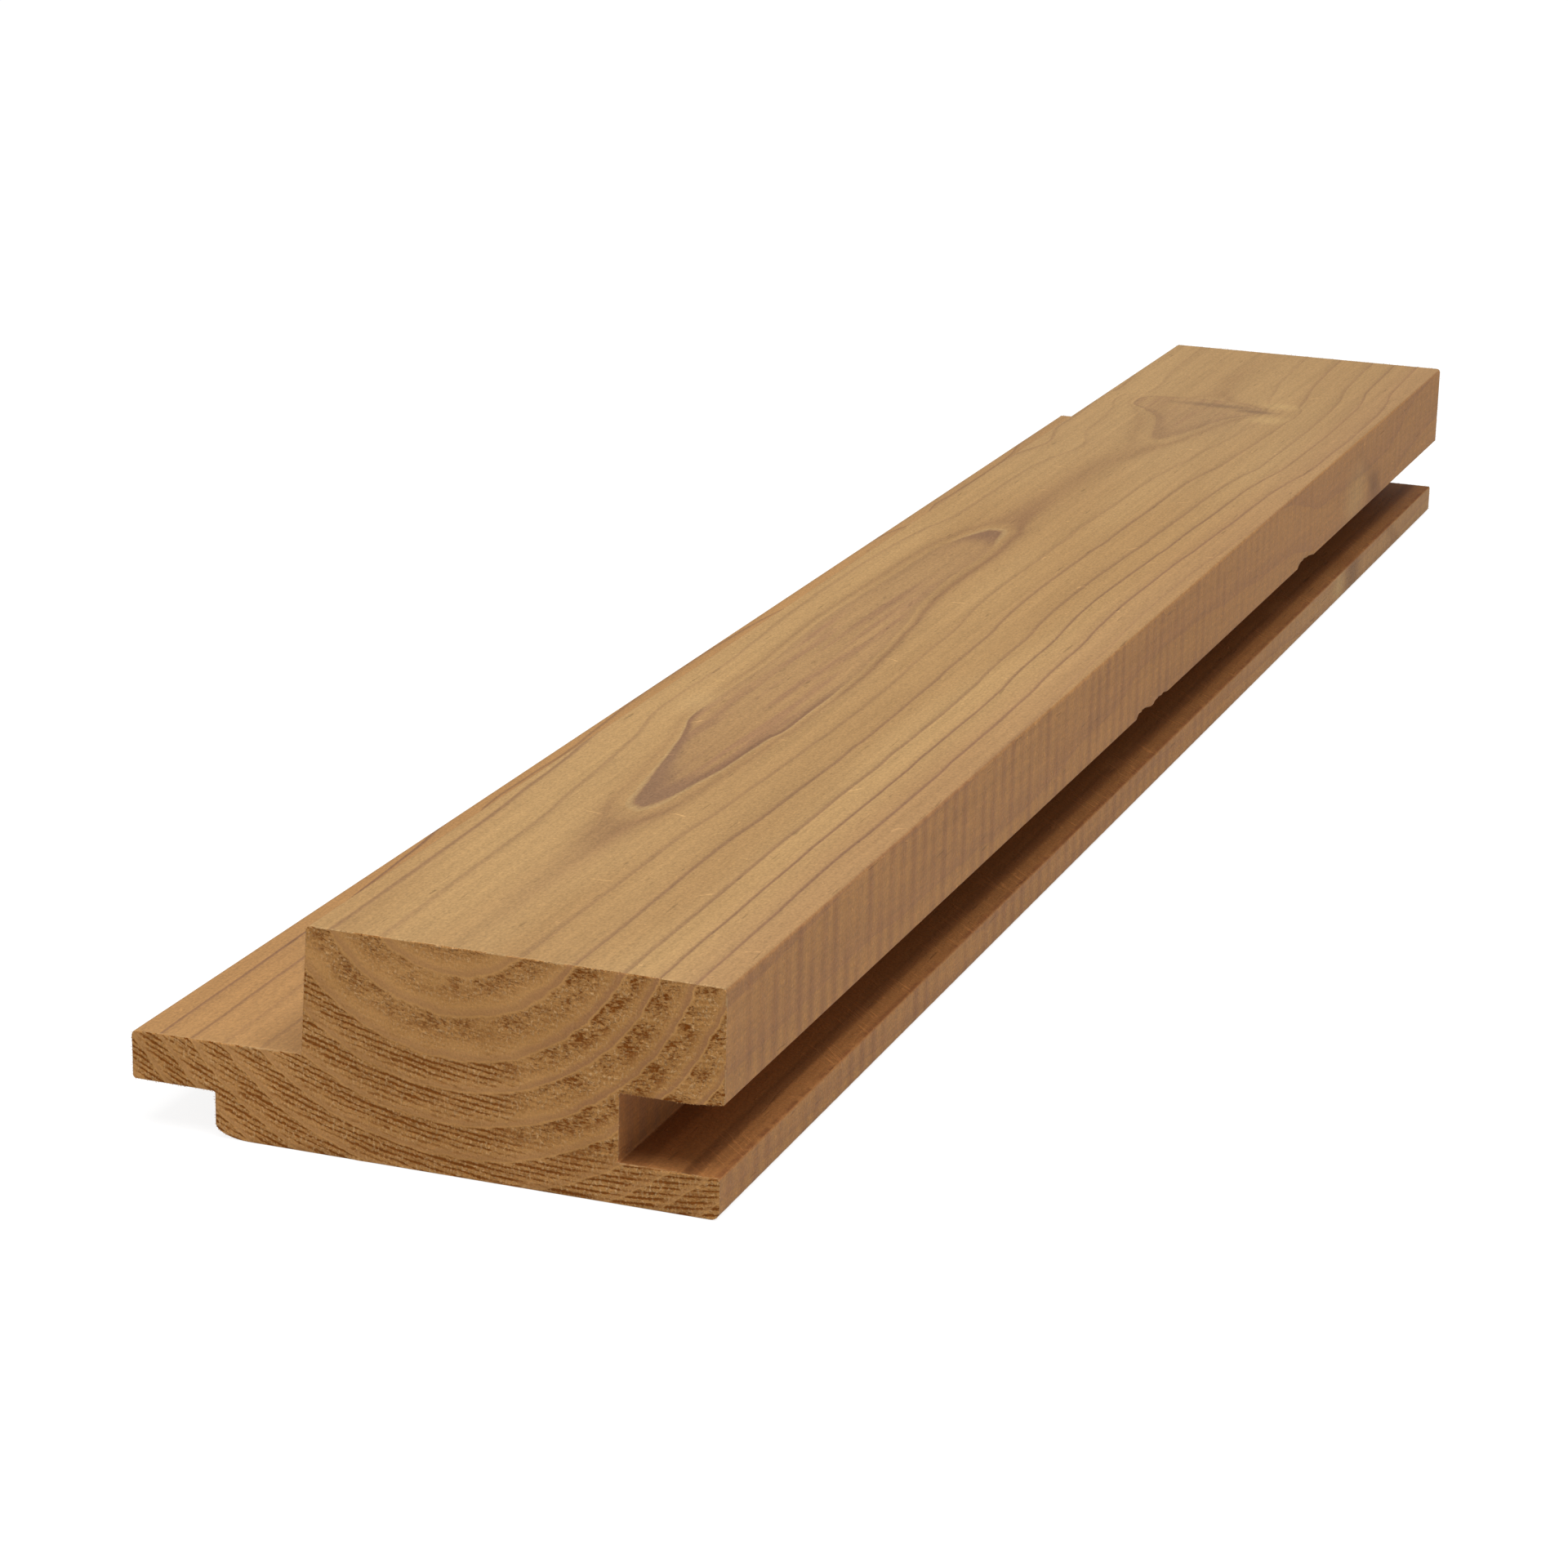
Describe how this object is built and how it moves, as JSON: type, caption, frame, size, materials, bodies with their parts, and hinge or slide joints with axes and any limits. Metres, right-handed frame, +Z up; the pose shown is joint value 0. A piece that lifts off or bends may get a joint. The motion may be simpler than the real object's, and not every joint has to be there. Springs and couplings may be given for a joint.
{
  "type": "heat-treated board",
  "caption": "Straight planed softwood cladding board with a stepped tongue along one edge and a groove along the other, for walls laid with a shadow gap.",
  "frame": {"origin": "under the middle of the board's box, on the plane of its back", "axes": "+Z up out of the show face, +Y along the board, +X towards the grooved edge"},
  "size_m": [0.0694, 0.35, 0.026],
  "materials": {
    "heat_treated_softwood": "planed faces, cross-cut sawn ends, no coating"
  },
  "bodies": {
    "root": {"board": "heat_treated_softwood"}
  },
  "joints": []
}
